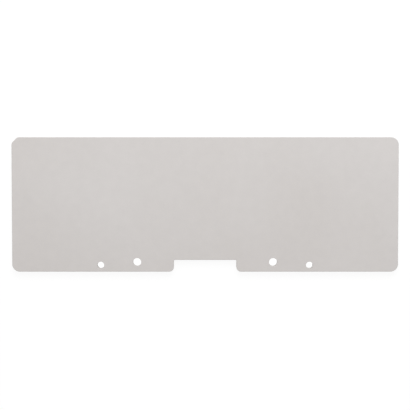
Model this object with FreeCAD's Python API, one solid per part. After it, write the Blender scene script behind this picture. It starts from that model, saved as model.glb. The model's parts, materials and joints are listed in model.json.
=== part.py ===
import FreeCAD, Part
import math
import os

# Partition plate for a row of terminal blocks: one flat moulded sheet, in millimetres.
# It lies on its back face. X runs along its length, Y from its notched bottom edge to its
# top edge, and Z through its thickness. The origin is under its middle, on the back face.

# Plate
plate_length = 105.0
plate_height = 36.6
plate_thickness = 2.0
corner_radius = 2.1
corner_cut = 1.6  # leg of the 45 degree cut across the top left corner
corner_cut_radius = 1.2  # where that cut runs into the two edges beside it

# Notch in the middle of the bottom edge
notch_width = 17.0
notch_depth = 3.2
notch_lip_radius = 1.3
notch_root_radius = 0.2

# Holes for the locating pins of the block beside the plate, in two mirrored pairs
inner_hole_diameter = 2.2
inner_hole_spacing = 37.0
inner_hole_height = 2.6  # of the centre, above the bottom edge
outer_hole_diameter = 1.85
outer_hole_spacing = 56.8
outer_hole_height = 1.8

# Softened edge, all round both faces
face_edge_radius = 0.15

# Places that follow from the sizes
right_edge = plate_length / 2
left_edge = -right_edge
top_edge = plate_height / 2
bottom_edge = -top_edge
notch_side = notch_width / 2
notch_top = bottom_edge + notch_depth
Z_AXIS = FreeCAD.Vector(0, 0, 1)


def plate_corners():
    """The outline's corners as (x, y, radius), counter-clockwise from the bottom left."""
    return [
        (left_edge, bottom_edge, corner_radius),
        (-notch_side, bottom_edge, notch_lip_radius),
        (-notch_side, notch_top, notch_root_radius),
        (notch_side, notch_top, notch_root_radius),
        (notch_side, bottom_edge, notch_lip_radius),
        (right_edge, bottom_edge, corner_radius),
        (right_edge, top_edge, corner_radius),
        (left_edge + corner_cut, top_edge, corner_cut_radius),
        (left_edge, top_edge - corner_cut, corner_cut_radius),
    ]


def corner_arc(previous, corner, following, radius):
    """Start, middle and end of the arc that rounds a corner, tangent to both of its sides."""
    back = (previous - corner).normalize()
    forth = (following - corner).normalize()
    half_angle = back.getAngle(forth) / 2
    tangent_length = radius / math.tan(half_angle)
    arc_depth = radius / math.sin(half_angle) - radius
    start = corner + back * tangent_length
    middle = corner + (back + forth).normalize() * arc_depth
    end = corner + forth * tangent_length
    return start, middle, end


def rounded_outline(corners):
    """Closed wire of straight sides and tangent arcs through corners (x, y, radius)."""
    points = [FreeCAD.Vector(x, y, 0) for x, y, _ in corners]
    arcs = []
    for index, (_, _, radius) in enumerate(corners):
        following = points[(index + 1) % len(points)]
        arcs.append(corner_arc(points[index - 1], points[index], following, radius))
    edges = []
    for index, (start, middle, end) in enumerate(arcs):
        next_start = arcs[(index + 1) % len(arcs)][0]
        edges.append(Part.Arc(start, middle, end).toShape())
        edges.append(Part.LineSegment(end, next_start).toShape())
    return Part.Wire(edges)


def hole_pair(diameter, spacing, height):
    """Two cylinders through the plate, mirrored about its middle."""
    cylinders = []
    for side in (-1, 1):
        foot = FreeCAD.Vector(side * spacing / 2, bottom_edge + height, 0)
        cylinders.append(Part.makeCylinder(diameter / 2, plate_thickness, foot, Z_AXIS))
    return cylinders


def broad_faces(plate):
    """The front and back faces, which are the plate's two largest."""
    return sorted(plate.Faces, key=lambda face: face.Area)[-2:]


def rim_edges(plate):
    """The edges where the front and back faces meet the plate's side."""
    return [edge for face in broad_faces(plate) for edge in face.Edges]


def partition_plate():
    """The whole plate: rounded outline with its notch, softened edges and pin holes."""
    outline = rounded_outline(plate_corners())
    plate = Part.Face(outline).extrude(Z_AXIS * plate_thickness)
    plate = plate.makeFillet(face_edge_radius, rim_edges(plate))
    holes = hole_pair(inner_hole_diameter, inner_hole_spacing, inner_hole_height)
    holes += hole_pair(outer_hole_diameter, outer_hole_spacing, outer_hole_height)
    return plate.cut(holes).Solids[0]


os.makedirs("parts", exist_ok=True)
partition_plate().exportStep("parts/partition_plate.step")
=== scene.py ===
import json
import math

import bpy
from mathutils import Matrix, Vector


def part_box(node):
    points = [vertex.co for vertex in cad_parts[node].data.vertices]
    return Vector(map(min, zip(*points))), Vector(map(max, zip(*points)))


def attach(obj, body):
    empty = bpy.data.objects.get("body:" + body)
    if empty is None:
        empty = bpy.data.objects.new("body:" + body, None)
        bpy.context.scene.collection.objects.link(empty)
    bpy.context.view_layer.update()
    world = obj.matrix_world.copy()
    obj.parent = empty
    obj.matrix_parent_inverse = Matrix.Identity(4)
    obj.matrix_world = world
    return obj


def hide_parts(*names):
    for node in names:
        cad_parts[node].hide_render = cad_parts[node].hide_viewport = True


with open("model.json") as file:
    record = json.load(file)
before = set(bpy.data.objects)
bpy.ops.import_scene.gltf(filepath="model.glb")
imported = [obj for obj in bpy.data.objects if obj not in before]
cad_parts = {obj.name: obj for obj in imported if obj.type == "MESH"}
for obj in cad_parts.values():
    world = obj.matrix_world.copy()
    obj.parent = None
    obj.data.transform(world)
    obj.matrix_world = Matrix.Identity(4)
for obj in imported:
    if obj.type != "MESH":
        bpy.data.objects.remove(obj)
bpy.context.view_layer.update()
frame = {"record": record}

# A partition plate for terminal blocks, in metres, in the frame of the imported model. The plate
# lies on its back face: X runs along its length, Y from its notched bottom edge to its top
# edge, and Z up through its thickness.

MM = 0.001
NODE = "partition_plate"
HOLE_PAIRS = ("Inner", "Outer")

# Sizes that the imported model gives
plate_low, plate_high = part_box(NODE)
plate_size = plate_high - plate_low
mounts = {mount["name"]: mount for mount in frame["record"]["mounts"]}

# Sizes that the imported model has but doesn't state
CORNER_RADIUS = 2.1 * MM
CORNER_CUT = 1.6 * MM
CORNER_CUT_RADIUS = 1.2 * MM
NOTCH_WIDTH = 17.0 * MM
NOTCH_DEPTH = 3.2 * MM
NOTCH_LIP_RADIUS = 1.3 * MM
NOTCH_ROOT_RADIUS = 0.2 * MM
FACE_EDGE_RADIUS = 0.15 * MM

# Fineness of the finished plate
HOLE_EDGE_RADIUS = 0.05 * MM
ARC_STEPS = 12
HOLE_STEPS = 64
EDGE_STEPS = 5
MERGE_DISTANCE = 0.0001 * MM

# Plastic: two close tints in linear colour, and three kinds of unevenness, each with its size
# across the surface, the detail in it, how much it changes the shade, and its height if any.
# The waves' change of shade is painted light and shade, as a very slightly wavy sheet shows
# under the lamp; the mottle and grain are the plastic's own tone.
# The offset moves the waves so that they lie much as the photograph's light and dark areas do.
WARM_GREY = (0.6325, 0.602, 0.5845, 1.0)
COOL_GREY = (0.6295, 0.603, 0.589, 1.0)
SPECULAR_LEVEL = 0.4
ROUGHNESS_LOW = 0.55
ROUGHNESS_HIGH = 0.65
WAVE_SIZE = 28 * MM
WAVE_DETAIL = 1.0
# How much painted light and shade the broad waves put into the colour
WAVE_PAINTED_SHADING = 0.019
WAVE_HEIGHT = 0.15 * MM
WAVE_OFFSET = (-14 * MM, 226 * MM, 30 * MM)
MOTTLE_SIZE = 2.5 * MM
MOTTLE_DETAIL = 4.0
MOTTLE_SHADE = 0.014
GRAIN_SIZE = 0.16 * MM
GRAIN_DETAIL = 2.0
GRAIN_SHADE = 0.015
GRAIN_HEIGHT = 0.012 * MM

# Most of what a noise texture gives lies between these two
NOISE_LOW = 0.3
NOISE_HIGH = 0.7

# White paper under the plate. Part of its white is light of its own: all of it far away and
# under the holes, less near the plate, where its shadow shows, and less where it only lights.
# The glow is a little over 1, plain white, to make up for the paper's own duller share.
PAPER_COLOUR = (0.9, 0.9, 0.9, 1.0)
PAPER_GLOW = 1.05
GLOW_SHARE_FAR = 1.0
GLOW_SHARE_NEAR = 0.84
GLOW_SHARE_LIGHTING = 0.75
PAPER_SIDE = 6.0
PAPER_GAP = 0.02 * MM

# How far from the middle of the paper the shadow shows in full, how far out it ends, and how
# far outside a hole's edge it is back in full
SHADOW_NEAR = 100 * MM
SHADOW_REACH = 400 * MM
HOLE_MARGIN = 0.3 * MM

# Studio light. The surround is plain white to look at, and dimmer where it only lights.
SURROUND_SEEN = 1.0
SURROUND_LIGHTING = 0.56
LAMP_PLACE = Vector((0.02, 0.26, 0.25))
LAMP_SIDE = 0.3
LAMP_POWER = 0.93

# Camera, with the plate's width and centre as the photograph shows them, in pixels
IMAGE_SIDE = 410
PLATE_WIDTH_IN_IMAGE = 386.67
PLATE_CENTRE_IN_IMAGE = (205.12, 204.57)
CAMERA_DISTANCE = 400 * MM
CAMERA_LEAN = math.radians(2.94)
CLIP_START = 0.01
CLIP_END = 100


# Nodes


def put(tree, socket, value):
    """Links one input to a socket, or sets it to a value."""
    if isinstance(value, bpy.types.NodeSocket):
        tree.links.new(value, socket)
    else:
        socket.default_value = value


def add(tree, kind, inputs=None, **settings):
    """A new node with its settings, and its inputs by name or number."""
    node = tree.nodes.new(kind)
    for name, value in settings.items():
        setattr(node, name, value)
    for name, value in (inputs or {}).items():
        put(tree, node.inputs[name], value)
    return node


def calc(tree, operation, first, second):
    """The result of one sum with two numbers."""
    return add(tree, "ShaderNodeMath", {0: first, 1: second}, operation=operation).outputs["Value"]


def scaled(tree, vector, factor):
    """A vector or colour times a number."""
    inputs = {0: vector, "Scale": factor}
    return add(tree, "ShaderNodeVectorMath", inputs, operation="SCALE").outputs["Vector"]


def point(tree, x=0.0, y=0.0, z=0.0):
    """A vector of three numbers or sockets."""
    return add(tree, "ShaderNodeCombineXYZ", {"X": x, "Y": y, "Z": z}).outputs["Vector"]


# The plate's shape


def by_index(tree, data_type, values):
    """A field that gives the first value to the first point, the second to the second, and so on."""
    switch = add(tree, "GeometryNodeIndexSwitch", data_type=data_type)
    for _ in values[2:]:  # a new switch has room for two
        switch.index_switch_items.new()
    put(tree, switch.inputs["Index"], add(tree, "GeometryNodeInputIndex").outputs["Index"])
    for number, value in enumerate(values):
        put(tree, switch.inputs[str(number)], value)
    return switch.outputs["Output"]


def moved(tree, geometry, offset):
    """Geometry shifted by a vector."""
    inputs = {"Geometry": geometry, "Offset": offset}
    return add(tree, "GeometryNodeSetPosition", inputs).outputs["Geometry"]


def with_points_at(tree, curve, places):
    """A curve with its points put at these places, in order."""
    inputs = {"Geometry": curve, "Position": by_index(tree, "VECTOR", places)}
    return add(tree, "GeometryNodeSetPosition", inputs).outputs["Geometry"]


def joined(tree, *parts):
    """Several geometries as one."""
    join = add(tree, "GeometryNodeJoinGeometry")
    for part in parts:
        put(tree, join.inputs["Geometry"], part)
    return join.outputs["Geometry"]


def merged(tree, geometry):
    """Geometry whose points in the same place are one point."""
    inputs = {"Geometry": geometry, "Distance": MERGE_DISTANCE}
    return add(tree, "GeometryNodeMergeByDistance", inputs).outputs["Geometry"]


def height_of_point(tree):
    """The height of each point above the back face."""
    position = add(tree, "GeometryNodeInputPosition").outputs["Position"]
    return add(tree, "ShaderNodeSeparateXYZ", {"Vector": position}).outputs["Z"]


def outline_curve(tree, size):
    """The plate's outline, counter-clockwise, with its notch and its cut corner."""
    right = calc(tree, "DIVIDE", size["Length"], 2)
    left = calc(tree, "MULTIPLY", right, -1)
    top = calc(tree, "DIVIDE", size["Height"], 2)
    bottom = calc(tree, "MULTIPLY", top, -1)
    notch_right = calc(tree, "DIVIDE", size["Notch Width"], 2)
    notch_left = calc(tree, "MULTIPLY", notch_right, -1)
    notch_top = calc(tree, "ADD", bottom, size["Notch Depth"])
    cut_right = calc(tree, "ADD", left, size["Corner Cut"])
    cut_bottom = calc(tree, "SUBTRACT", top, size["Corner Cut"])
    corners = [
        (left, bottom, size["Corner Radius"]),
        (notch_left, bottom, size["Notch Lip Radius"]),
        (notch_left, notch_top, size["Notch Root Radius"]),
        (notch_right, notch_top, size["Notch Root Radius"]),
        (notch_right, bottom, size["Notch Lip Radius"]),
        (right, bottom, size["Corner Radius"]),
        (right, top, size["Corner Radius"]),
        (cut_right, top, size["Corner Cut Radius"]),
        (left, cut_bottom, size["Corner Cut Radius"]),
    ]
    polygon = add(tree, "GeometryNodeCurvePrimitiveCircle", {"Resolution": len(corners)})
    places = [point(tree, x, y) for x, y, _ in corners]
    rounded = add(
        tree,
        "GeometryNodeFilletCurve",
        {
            "Curve": with_points_at(tree, polygon.outputs["Curve"], places),
            "Count": size["Arc Steps"],
            "Radius": by_index(tree, "FLOAT", [radius for _, _, radius in corners]),
        },
        mode="POLY",
    )
    return rounded.outputs["Curve"]


def hole_pair(tree, size, which):
    """Two circles mirrored about the plate's middle, clockwise, so that the plate is on their left."""
    spacing = size[which + " Hole Spacing"]
    bottom = calc(tree, "MULTIPLY", size["Height"], -0.5)
    height = calc(tree, "ADD", bottom, size[which + " Hole Height"])
    left_centre = point(tree, calc(tree, "MULTIPLY", spacing, -0.5), height)
    centres = add(
        tree,
        "GeometryNodeMeshLine",
        {"Count": 2, "Start Location": left_centre, "Offset": point(tree, spacing)},
    )
    radius = calc(tree, "DIVIDE", size[which + " Hole Diameter"], 2)
    circle = add(
        tree,
        "GeometryNodeCurvePrimitiveCircle",
        {"Resolution": size["Hole Steps"], "Radius": radius},
    )
    clockwise = add(tree, "GeometryNodeReverseCurve", {"Curve": circle.outputs["Curve"]})
    placed = add(
        tree,
        "GeometryNodeInstanceOnPoints",
        {"Points": centres.outputs["Mesh"], "Instance": clockwise.outputs["Curve"]},
    )
    return placed.outputs["Instances"]


def side_section(tree, size, edge_radius):
    """The plate's side in section, from the front face round and down to the back face."""
    inset = calc(tree, "MULTIPLY", edge_radius, -1)
    corners = [
        point(tree, inset),
        point(tree),
        point(tree, 0.0, size["Thickness"]),
        point(tree, inset, size["Thickness"]),
    ]
    line = add(tree, "GeometryNodeMeshLine", {"Count": len(corners)})
    curve = add(tree, "GeometryNodeMeshToCurve", {"Mesh": line.outputs["Mesh"]})
    rounded = add(
        tree,
        "GeometryNodeFilletCurve",
        {
            "Curve": with_points_at(tree, curve.outputs["Curve"], corners),
            "Count": size["Edge Steps"],
            "Radius": edge_radius,
            "Limit Radius": True,
        },
        mode="POLY",
    )
    return rounded.outputs["Curve"]


def side_walls(tree, size, curve, edge_radius):
    """The side's section swept along a curve that is lifted to the front face."""
    lifted = moved(tree, curve, point(tree, z=size["Thickness"]))
    upright = add(tree, "GeometryNodeSetCurveNormal", {"Curve": lifted}, mode="Z_UP")
    section = side_section(tree, size, edge_radius)
    swept = add(
        tree,
        "GeometryNodeCurveToMesh",
        {"Curve": upright.outputs["Curve"], "Profile Curve": section},
    )
    return merged(tree, swept.outputs["Mesh"])


def broad_faces(tree, size, walls):
    """The front and back faces, which fill the open ends of the walls."""
    neighbours = add(tree, "GeometryNodeInputMeshEdgeNeighbors").outputs["Face Count"]
    is_open = calc(tree, "COMPARE", neighbours, 1)
    middle = calc(tree, "DIVIDE", size["Thickness"], 2)
    is_high = calc(tree, "GREATER_THAN", height_of_point(tree), middle)
    rims = add(
        tree,
        "GeometryNodeMeshToCurve",
        {"Mesh": walls, "Selection": calc(tree, "MULTIPLY", is_open, is_high)},
    )
    filled = add(tree, "GeometryNodeFillCurve", {"Curve": rims.outputs["Curve"]})
    front = moved(tree, filled.outputs["Mesh"], point(tree, z=size["Thickness"]))
    back = add(tree, "GeometryNodeFlipFaces", {"Mesh": filled.outputs["Mesh"]})
    return joined(tree, front, back.outputs["Mesh"])


def even_normals(tree, size, mesh):
    """Keeps flat sides flat in the shading: each point faces as its larger faces do, and the
    points of the broad faces face straight up or down."""
    facing = add(tree, "GeometryNodeInputNormal").outputs["True Normal"]
    area = add(tree, "GeometryNodeInputMeshFaceArea").outputs["Area"]
    by_area = add(tree, "GeometryNodeFieldOnDomain", domain="FACE", data_type="FLOAT_VECTOR")
    put(tree, by_area.inputs["Value"], scaled(tree, facing, area))
    mean = add(tree, "ShaderNodeVectorMath", {0: by_area.outputs["Value"]}, operation="NORMALIZE")
    height = height_of_point(tree)
    front_height = calc(tree, "SUBTRACT", size["Thickness"], MERGE_DISTANCE)
    is_front = calc(tree, "GREATER_THAN", height, front_height)
    is_back = calc(tree, "LESS_THAN", height, MERGE_DISTANCE)
    chosen = add(tree, "GeometryNodeSwitch", input_type="VECTOR")
    put(tree, chosen.inputs["Switch"], calc(tree, "ADD", is_front, is_back))
    put(tree, chosen.inputs["False"], mean.outputs["Vector"])
    put(tree, chosen.inputs["True"], point(tree, z=calc(tree, "SUBTRACT", is_front, is_back)))
    shaded = add(tree, "GeometryNodeSetMeshNormal", mode="FREE", domain="POINT")
    put(tree, shaded.inputs["Mesh"], mesh)
    put(tree, shaded.inputs["Custom Normal"], chosen.outputs["Output"])
    return shaded.outputs["Mesh"]


def plate_tree(lengths, counts):
    """The tree that makes the whole plate, with its lengths and counts as named inputs."""
    tree = bpy.data.node_groups.new("partition plate", "GeometryNodeTree")
    for names, kind in ((lengths, "NodeSocketFloat"), (counts, "NodeSocketInt")):
        for name in names:
            tree.interface.new_socket(name=name, in_out="INPUT", socket_type=kind)
    tree.interface.new_socket(name="Material", in_out="INPUT", socket_type="NodeSocketMaterial")
    tree.interface.new_socket(name="Plate", in_out="OUTPUT", socket_type="NodeSocketGeometry")
    size = add(tree, "NodeGroupInput").outputs
    outline = outline_curve(tree, size)
    holes = joined(tree, *[hole_pair(tree, size, which) for which in HOLE_PAIRS])
    hole_rings = add(tree, "GeometryNodeRealizeInstances", {"Geometry": holes}).outputs["Geometry"]
    walls = joined(
        tree,
        side_walls(tree, size, outline, size["Face Edge Radius"]),
        side_walls(tree, size, hole_rings, size["Hole Edge Radius"]),
    )
    closed = merged(tree, joined(tree, walls, broad_faces(tree, size, walls)))
    smooth = add(tree, "GeometryNodeSetShadeSmooth", {"Geometry": closed})
    shaded = even_normals(tree, size, smooth.outputs["Geometry"])
    real = add(tree, "GeometryNodeRealizeInstances", {"Geometry": shaded})
    painted = add(
        tree,
        "GeometryNodeSetMaterial",
        {"Geometry": real.outputs["Geometry"], "Material": size["Material"]},
    )
    add(tree, "NodeGroupOutput", {"Plate": painted.outputs["Geometry"]})
    return tree


def mesh_from_tree(tree, values):
    """The plain mesh that a tree makes with these input values, by name."""
    maker = bpy.data.objects.new("maker", bpy.data.meshes.new("maker"))
    bpy.context.scene.collection.objects.link(maker)
    modifier = maker.modifiers.new("maker", "NODES")
    modifier.node_group = tree
    for item in tree.interface.items_tree:
        if item.in_out == "INPUT":
            modifier[item.identifier] = values[item.name]
    depsgraph = bpy.context.evaluated_depsgraph_get()
    mesh = bpy.data.meshes.new_from_object(maker.evaluated_get(depsgraph), depsgraph=depsgraph)
    mesh.materials.pop(index=0)  # the empty slot that Set Material puts first
    bpy.data.meshes.remove(maker.data)
    return mesh


def right_hole(which):
    """The centre and radius of one pair's right hole, from the record's mounts."""
    mount = mounts[f"{which.lower()}_pin_hole_right"]
    x, y, _ = mount["pos_m"]
    return x, y, mount["dims"]["r_mm"] * MM


def hole_lengths(which):
    """The diameter and place of one pair of holes."""
    x, y, radius = right_hole(which)
    return {
        which + " Hole Diameter": 2 * radius,
        which + " Hole Spacing": 2 * x,
        which + " Hole Height": y - plate_low.y,
    }


def build_plate():
    """The finished plate, in one piece."""
    lengths = {
        "Length": plate_size.x,
        "Height": plate_size.y,
        "Thickness": plate_size.z,
        "Corner Radius": CORNER_RADIUS,
        "Corner Cut": CORNER_CUT,
        "Corner Cut Radius": CORNER_CUT_RADIUS,
        "Notch Width": NOTCH_WIDTH,
        "Notch Depth": NOTCH_DEPTH,
        "Notch Lip Radius": NOTCH_LIP_RADIUS,
        "Notch Root Radius": NOTCH_ROOT_RADIUS,
        "Face Edge Radius": FACE_EDGE_RADIUS,
        "Hole Edge Radius": HOLE_EDGE_RADIUS,
    }
    for which in HOLE_PAIRS:
        lengths.update(hole_lengths(which))
    counts = {"Arc Steps": ARC_STEPS, "Hole Steps": HOLE_STEPS, "Edge Steps": EDGE_STEPS}
    values = {**lengths, **counts, "Material": moulded_plastic()}
    mesh = mesh_from_tree(plate_tree(lengths, counts), values)
    mesh.name = "plate"
    plate = bpy.data.objects.new("plate", mesh)
    bpy.context.scene.collection.objects.link(plate)
    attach(plate, "root")
    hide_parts(NODE)


# Materials


def new_material(name):
    """An empty material, with its tree and its output node."""
    material = bpy.data.materials.new(name)
    material.use_nodes = True
    tree = material.node_tree
    tree.nodes.clear()
    return material, tree, add(tree, "ShaderNodeOutputMaterial")


def noise(tree, place, feature_size, detail):
    """Noise from 0 to 1 with features of about this size."""
    inputs = {"Vector": place, "Scale": 1 / feature_size, "Detail": detail}
    return add(tree, "ShaderNodeTexNoise", inputs).outputs["Fac"]


def spread(tree, value, low, high):
    """Noise stretched so that most of it lies from low to high."""
    inputs = {
        "Value": value,
        "From Min": NOISE_LOW,
        "From Max": NOISE_HIGH,
        "To Min": low,
        "To Max": high,
    }
    return add(tree, "ShaderNodeMapRange", inputs, clamp=False).outputs["Result"]


def ramp(tree, value, start, end):
    """How far a value has come from start to end, from 0 to 1."""
    inputs = {"Value": value, "From Min": start, "From Max": end}
    return add(tree, "ShaderNodeMapRange", inputs).outputs["Result"]


def between(tree, share, first, second):
    """A number between two, where share runs from 0 to 1."""
    inputs = {"Factor": share, "A": first, "B": second}
    return add(tree, "ShaderNodeMix", inputs).outputs["Result"]


def colour_between(tree, share, first, second):
    """A colour between two, where share runs from 0 to 1."""
    mix = add(tree, "ShaderNodeMix", {"Factor": share}, data_type="RGBA")
    first_socket, second_socket = [socket for socket in mix.inputs if socket.type == "RGBA"]
    put(tree, first_socket, first)
    put(tree, second_socket, second)
    return next(socket for socket in mix.outputs if socket.type == "RGBA")


def shade(tree, value, change):
    """A factor near 1 that noise raises and lowers by this change."""
    return spread(tree, value, 1 - change, 1 + change)


def bump(tree, value, height, normal=None):
    """A normal raised by noise of this height, on top of another one where given."""
    inputs = {"Height": value, "Distance": height}
    if normal:
        inputs["Normal"] = normal
    return add(tree, "ShaderNodeBump", inputs).outputs["Normal"]


def moulded_plastic():
    """Light warm grey plastic: matte, fine-grained and very slightly uneven, with the broad light
    and shade of that unevenness painted into its colour.
    """
    material, tree, output = new_material("moulded plastic")
    place = add(tree, "ShaderNodeTexCoord").outputs["Object"]
    offset = add(tree, "ShaderNodeMapping", {"Vector": place, "Location": WAVE_OFFSET})
    wave = noise(tree, offset.outputs["Vector"], WAVE_SIZE, WAVE_DETAIL)
    mottle = noise(tree, place, MOTTLE_SIZE, MOTTLE_DETAIL)
    grain = noise(tree, place, GRAIN_SIZE, GRAIN_DETAIL)
    tint = colour_between(tree, spread(tree, wave, 0.0, 1.0), WARM_GREY, COOL_GREY)
    # The waves paint broad light and shade into the colour; the mottle and grain vary its own tone
    factor = calc(tree, "MULTIPLY", shade(tree, wave, WAVE_PAINTED_SHADING), shade(tree, mottle, MOTTLE_SHADE))
    factor = calc(tree, "MULTIPLY", factor, shade(tree, grain, GRAIN_SHADE))
    shader = add(
        tree,
        "ShaderNodeBsdfPrincipled",
        {
            "Base Color": scaled(tree, tint, factor),
            "Roughness": spread(tree, mottle, ROUGHNESS_LOW, ROUGHNESS_HIGH),
            "Specular IOR Level": SPECULAR_LEVEL,
            "Normal": bump(tree, grain, GRAIN_HEIGHT, bump(tree, wave, WAVE_HEIGHT)),
        },
    )
    put(tree, output.inputs["Surface"], shader.outputs["BSDF"])
    return material


def seen_or_lighting(tree, seen, lighting):
    """One value where the camera, a reflection or clear glass shows it, and one where it only
    lights."""
    path = add(tree, "ShaderNodeLightPath").outputs
    is_seen = calc(tree, "MAXIMUM", path["Is Camera Ray"], path["Is Glossy Ray"])
    is_seen = calc(tree, "MAXIMUM", is_seen, path["Is Transmission Ray"])
    return between(tree, is_seen, lighting, seen)


def shadow_zone(tree):
    """1 on the paper near the plate, and 0 far from it and under its holes, which show plain
    white as in the photograph. Mirroring also marks places by the top edge, but the plate
    covers them."""
    place = add(tree, "ShaderNodeTexCoord").outputs["Object"]
    off_centre = add(tree, "ShaderNodeVectorMath", {0: place}, operation="LENGTH")
    zone = ramp(tree, off_centre.outputs["Value"], SHADOW_REACH, SHADOW_NEAR)
    mirrored = add(tree, "ShaderNodeVectorMath", {0: place}, operation="ABSOLUTE")
    for which in HOLE_PAIRS:
        x, y, radius = right_hole(which)
        inputs = {0: mirrored.outputs["Vector"], 1: (x, abs(y), 0)}
        apart = add(tree, "ShaderNodeVectorMath", inputs, operation="DISTANCE").outputs["Value"]
        zone = calc(tree, "MULTIPLY", zone, ramp(tree, apart, radius, radius + HOLE_MARGIN))
    return zone


def white_paper():
    """White paper that keeps a faint shadow of the plate."""
    material, tree, output = new_material("white paper")
    paper = add(tree, "ShaderNodeBsdfDiffuse", {"Color": PAPER_COLOUR})
    glow = add(tree, "ShaderNodeEmission", {"Strength": PAPER_GLOW})
    share_seen = between(tree, shadow_zone(tree), GLOW_SHARE_FAR, GLOW_SHARE_NEAR)
    share = seen_or_lighting(tree, share_seen, GLOW_SHARE_LIGHTING)
    mixed = add(
        tree,
        "ShaderNodeMixShader",
        {0: share, 1: paper.outputs["BSDF"], 2: glow.outputs["Emission"]},
    )
    put(tree, output.inputs["Surface"], mixed.outputs["Shader"])
    return material


# The studio


def build_paper():
    """A sheet of paper just under the plate."""
    half = PAPER_SIDE / 2
    corners = [(-half, -half, 0), (half, -half, 0), (half, half, 0), (-half, half, 0)]
    mesh = bpy.data.meshes.new("paper")
    mesh.from_pydata(corners, [], [(0, 1, 2, 3)])
    mesh.materials.append(white_paper())
    paper = bpy.data.objects.new("paper", mesh)
    paper.location.z = plate_low.z - PAPER_GAP
    bpy.context.scene.collection.objects.link(paper)


def build_surround():
    """An even white surround."""
    world = bpy.data.worlds.new("white surround")
    world.use_nodes = True
    tree = world.node_tree
    tree.nodes.clear()
    strength = seen_or_lighting(tree, SURROUND_SEEN, SURROUND_LIGHTING)
    white = add(tree, "ShaderNodeBackground", {"Color": (1, 1, 1, 1), "Strength": strength})
    add(tree, "ShaderNodeOutputWorld", {"Surface": white.outputs["Background"]})
    bpy.context.scene.world = world


def build_lamp():
    """A soft lamp beyond the top edge, near enough that its light falls off over the plate."""
    light = bpy.data.lights.new("lamp", "AREA")
    light.shape = "SQUARE"
    light.size = LAMP_SIDE
    light.energy = LAMP_POWER
    lamp = bpy.data.objects.new("lamp", light)
    lamp.visible_camera = False
    lamp.location = LAMP_PLACE
    lamp.rotation_euler = (-LAMP_PLACE).to_track_quat("-Z", "Y").to_euler()
    bpy.context.scene.collection.objects.link(lamp)


def build_camera():
    """Looks down on the plate, leaning a little to its top edge."""
    pixel = plate_size.x / PLATE_WIDTH_IN_IMAGE
    x, y = PLATE_CENTRE_IN_IMAGE
    centre = (plate_low + plate_high) / 2
    aim_x = centre.x + (IMAGE_SIDE / 2 - x) * pixel
    aim_y = centre.y + (y - IMAGE_SIDE / 2) * pixel
    lean = Vector((0, math.sin(CAMERA_LEAN), math.cos(CAMERA_LEAN)))
    data = bpy.data.cameras.new("camera")
    data.lens = data.sensor_width * CAMERA_DISTANCE / (IMAGE_SIDE * pixel)
    data.clip_start = CLIP_START
    data.clip_end = CLIP_END
    camera = bpy.data.objects.new("camera", data)
    camera.location = Vector((aim_x, aim_y, plate_high.z)) + lean * CAMERA_DISTANCE
    camera.rotation_euler = (-CAMERA_LEAN, 0, 0)
    bpy.context.scene.collection.objects.link(camera)
    bpy.context.scene.camera = camera


build_plate()
build_paper()
build_surround()
build_lamp()
build_camera()
bpy.context.scene.view_settings.view_transform = "Standard"
